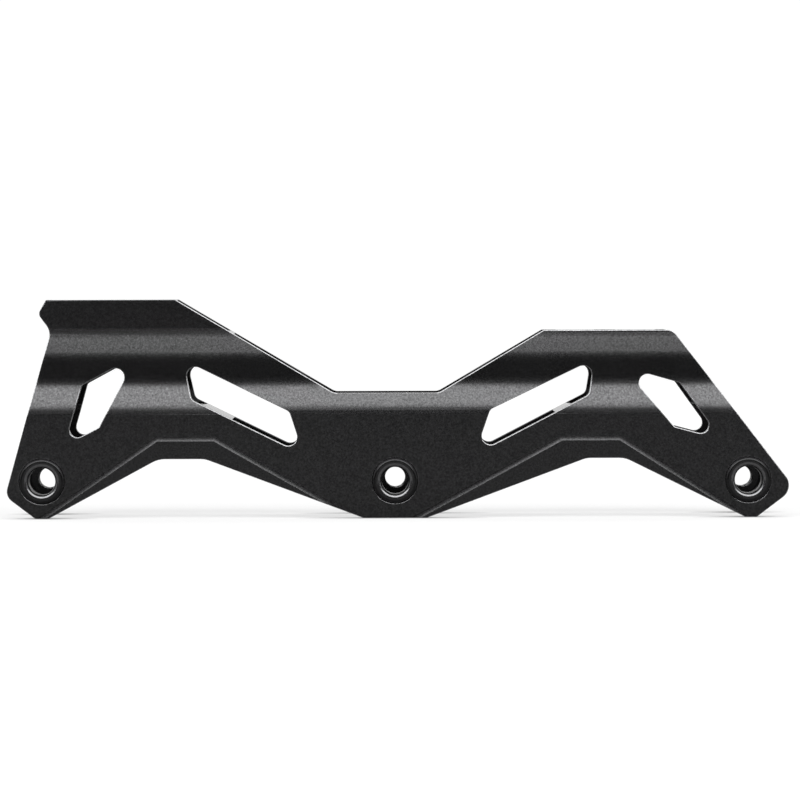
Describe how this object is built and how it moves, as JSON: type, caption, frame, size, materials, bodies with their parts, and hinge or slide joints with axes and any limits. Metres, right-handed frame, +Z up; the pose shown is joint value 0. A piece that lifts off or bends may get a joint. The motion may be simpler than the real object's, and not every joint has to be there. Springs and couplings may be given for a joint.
{
  "type": "inline skate frame",
  "caption": "Black anodised aluminium inline skate frame with stepped heel and toe decks, a low waist, window cut-outs, axle bushes and threaded inserts.",
  "frame": {"origin": "under the middle of the length and width, in the plane the feet stand on", "axes": "+X towards the toe, +Y towards the threaded wall, +Z up through the decks"},
  "size_m": [0.26, 0.0414, 0.0728],
  "materials": {
    "anodised_body": "fine bead-blasted black anodising",
    "axle_bush": "turned, black anodised",
    "thread_insert": "turned, blackened"
  },
  "bodies": {
    "root": {"frame_body": "anodised_body", "axle_bush_rear": "axle_bush", "axle_bush_middle": "axle_bush", "axle_bush_front": "axle_bush", "thread_insert_rear": "thread_insert", "thread_insert_middle": "thread_insert", "thread_insert_front": "thread_insert"}
  },
  "joints": []
}
